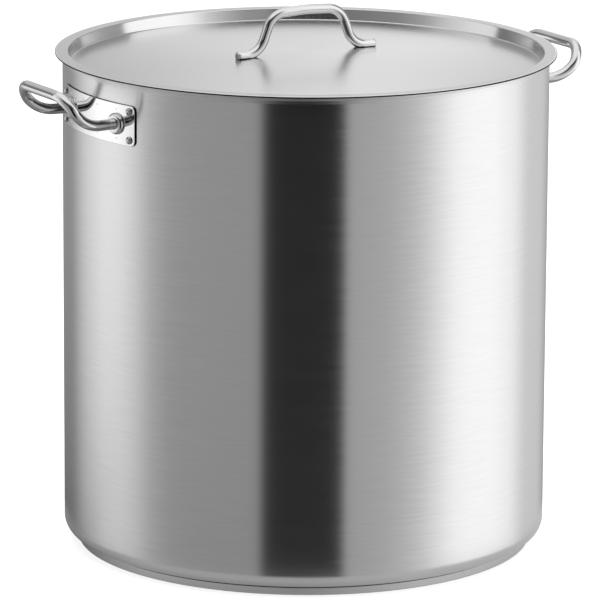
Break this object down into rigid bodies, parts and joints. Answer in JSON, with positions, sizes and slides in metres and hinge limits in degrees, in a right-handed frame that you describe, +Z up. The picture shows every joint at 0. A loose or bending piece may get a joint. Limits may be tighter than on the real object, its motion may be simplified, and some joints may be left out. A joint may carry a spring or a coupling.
{
  "type": "stock pot",
  "caption": "Tall cylindrical stainless stock pot with a sandwich base, riveted bent-tube side handles and a recessed lift-off lid with a bent-rod handle.",
  "frame": {"origin": "centre of the underside of the base, on the floor", "axes": "+Z up along the pot's axis, X through the two side handles and along the lid handle"},
  "size_m": [0.622, 0.5156, 0.561],
  "materials": {
    "body_steel": "fine brushing round the body, satin",
    "base_steel": "turned brushing, satin",
    "lid_steel": "satin, softly reflective",
    "polished_steel": "polished bright",
    "mirror_steel": "mirror polished",
    "rivet_steel": "polished bright",
    "core_aluminium": "bare, hidden in the base"
  },
  "bodies": {
    "pot": {"pot_body": "body_steel", "base_core": "core_aluminium", "base_cap": "base_steel", "handle_ferrule_left_back": "polished_steel", "handle_ferrule_left_front": "polished_steel", "handle_ferrule_right_back": "polished_steel", "handle_ferrule_right_front": "polished_steel", "handle_loop_left": "polished_steel", "handle_loop_right": "polished_steel", "handle_plate_left": "mirror_steel", "handle_plate_right": "mirror_steel", "rivet_left_back_lower": "rivet_steel", "rivet_left_back_upper": "rivet_steel", "rivet_left_front_lower": "rivet_steel", "rivet_left_front_upper": "rivet_steel", "rivet_right_back_lower": "rivet_steel", "rivet_right_back_upper": "rivet_steel", "rivet_right_front_lower": "rivet_steel", "rivet_right_front_upper": "rivet_steel"},
    "lid": {"lid": "lid_steel", "lid_handle": "polished_steel"}
  },
  "joints": [
    {"name": "lid_lift", "type": "slide", "parent": "pot", "child": "lid", "axis": [0, 0, 1], "range_m": [0, 0.35]}
  ]
}
